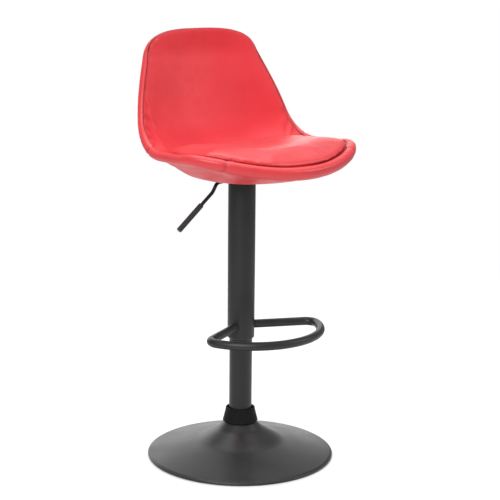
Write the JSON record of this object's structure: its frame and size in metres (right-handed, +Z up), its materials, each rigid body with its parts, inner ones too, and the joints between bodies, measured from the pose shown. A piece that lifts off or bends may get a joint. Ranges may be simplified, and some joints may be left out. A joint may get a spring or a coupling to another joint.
{
  "type": "adjustable swivel stool",
  "caption": "Height-adjustable swivel bar stool with a padded bucket seat, seat cushion, gas-lift column, loop footrest, release lever and round weighted foot.",
  "frame": {"origin": "on the floor under the middle of the stool's bounding box; the column's axis stands 5 mm behind it", "axes": "+Z up, the seat faces -Y, the sitter's right and the lever are toward -X"},
  "size_m": [0.4428, 0.42, 0.9303],
  "materials": {
    "black_coat": "satin",
    "raw_steel": "satin",
    "aluminium": "satin",
    "brass": "satin",
    "black_plastic": "matte",
    "nylon": "satin",
    "shell_plastic": "matte",
    "rubber": "matte",
    "red_leather": "satin"
  },
  "bodies": {
    "base": {"base_shell": "black_coat", "floor_ring": "rubber", "ballast_plate": "raw_steel", "base_hub": "raw_steel", "base_screws": "raw_steel", "base_collar": "black_plastic", "lower_tube": "black_coat", "guide_bush": "nylon", "bearing_plate": "raw_steel", "lower_race": "raw_steel"},
    "bearing": {"bearing_cage": "nylon", "bearing_balls": "raw_steel"},
    "rod": {"upper_race": "raw_steel", "rubber_buffer": "rubber", "piston_rod": "raw_steel", "rod_washer": "raw_steel", "retaining_clip": "raw_steel", "piston": "aluminium"},
    "seat": {"gas_cylinder": "black_coat", "cover_tube": "black_coat", "slide_bush": "nylon", "taper_socket": "raw_steel", "footrest_ring": "black_coat", "seat_plate": "black_coat", "pivot_bracket": "black_coat", "lever_pin": "raw_steel", "seat_shell": "shell_plastic", "threaded_inserts": "brass", "plate_screws": "raw_steel", "inner_padding": "red_leather", "outer_cover": "red_leather", "edge_roll": "red_leather", "seat_cushion": "red_leather"},
    "lever": {"lever_rod": "black_coat", "lever_grip": "black_plastic"},
    "valve": {"valve_pin": "raw_steel"}
  },
  "joints": [
    {"name": "swivel", "type": "hinge", "parent": "base", "child": "rod", "pos_m": [0, 0.005, 0.022], "axis": [0, 0, 1], "continuous": true},
    {"name": "bearing_roll", "type": "hinge", "parent": "base", "child": "bearing", "pos_m": [0, 0.005, 0.026], "axis": [0, 0, 1], "continuous": true},
    {"name": "lift", "type": "slide", "parent": "rod", "child": "seat", "axis": [0, 0, 1], "range_m": [-0.1, 0.11]},
    {"name": "lever_pull", "type": "hinge", "parent": "seat", "child": "lever", "pos_m": [-0.018, 0.005, 0.618], "axis": [0, 1, 0], "range_deg": [0, 6], "stiffness_Nm_per_rad": 6, "springref_deg": -2.86},
    {"name": "valve_press", "type": "slide", "parent": "seat", "child": "valve", "axis": [0, 0, -1], "range_m": [0, 0.002]}
  ],
  "couplings": [
    {"joint": "bearing_roll", "follows": "swivel", "ratio": 0.5},
    {"joint": "valve_press", "follows": "lever_pull", "m_per_rad": 0.018}
  ]
}
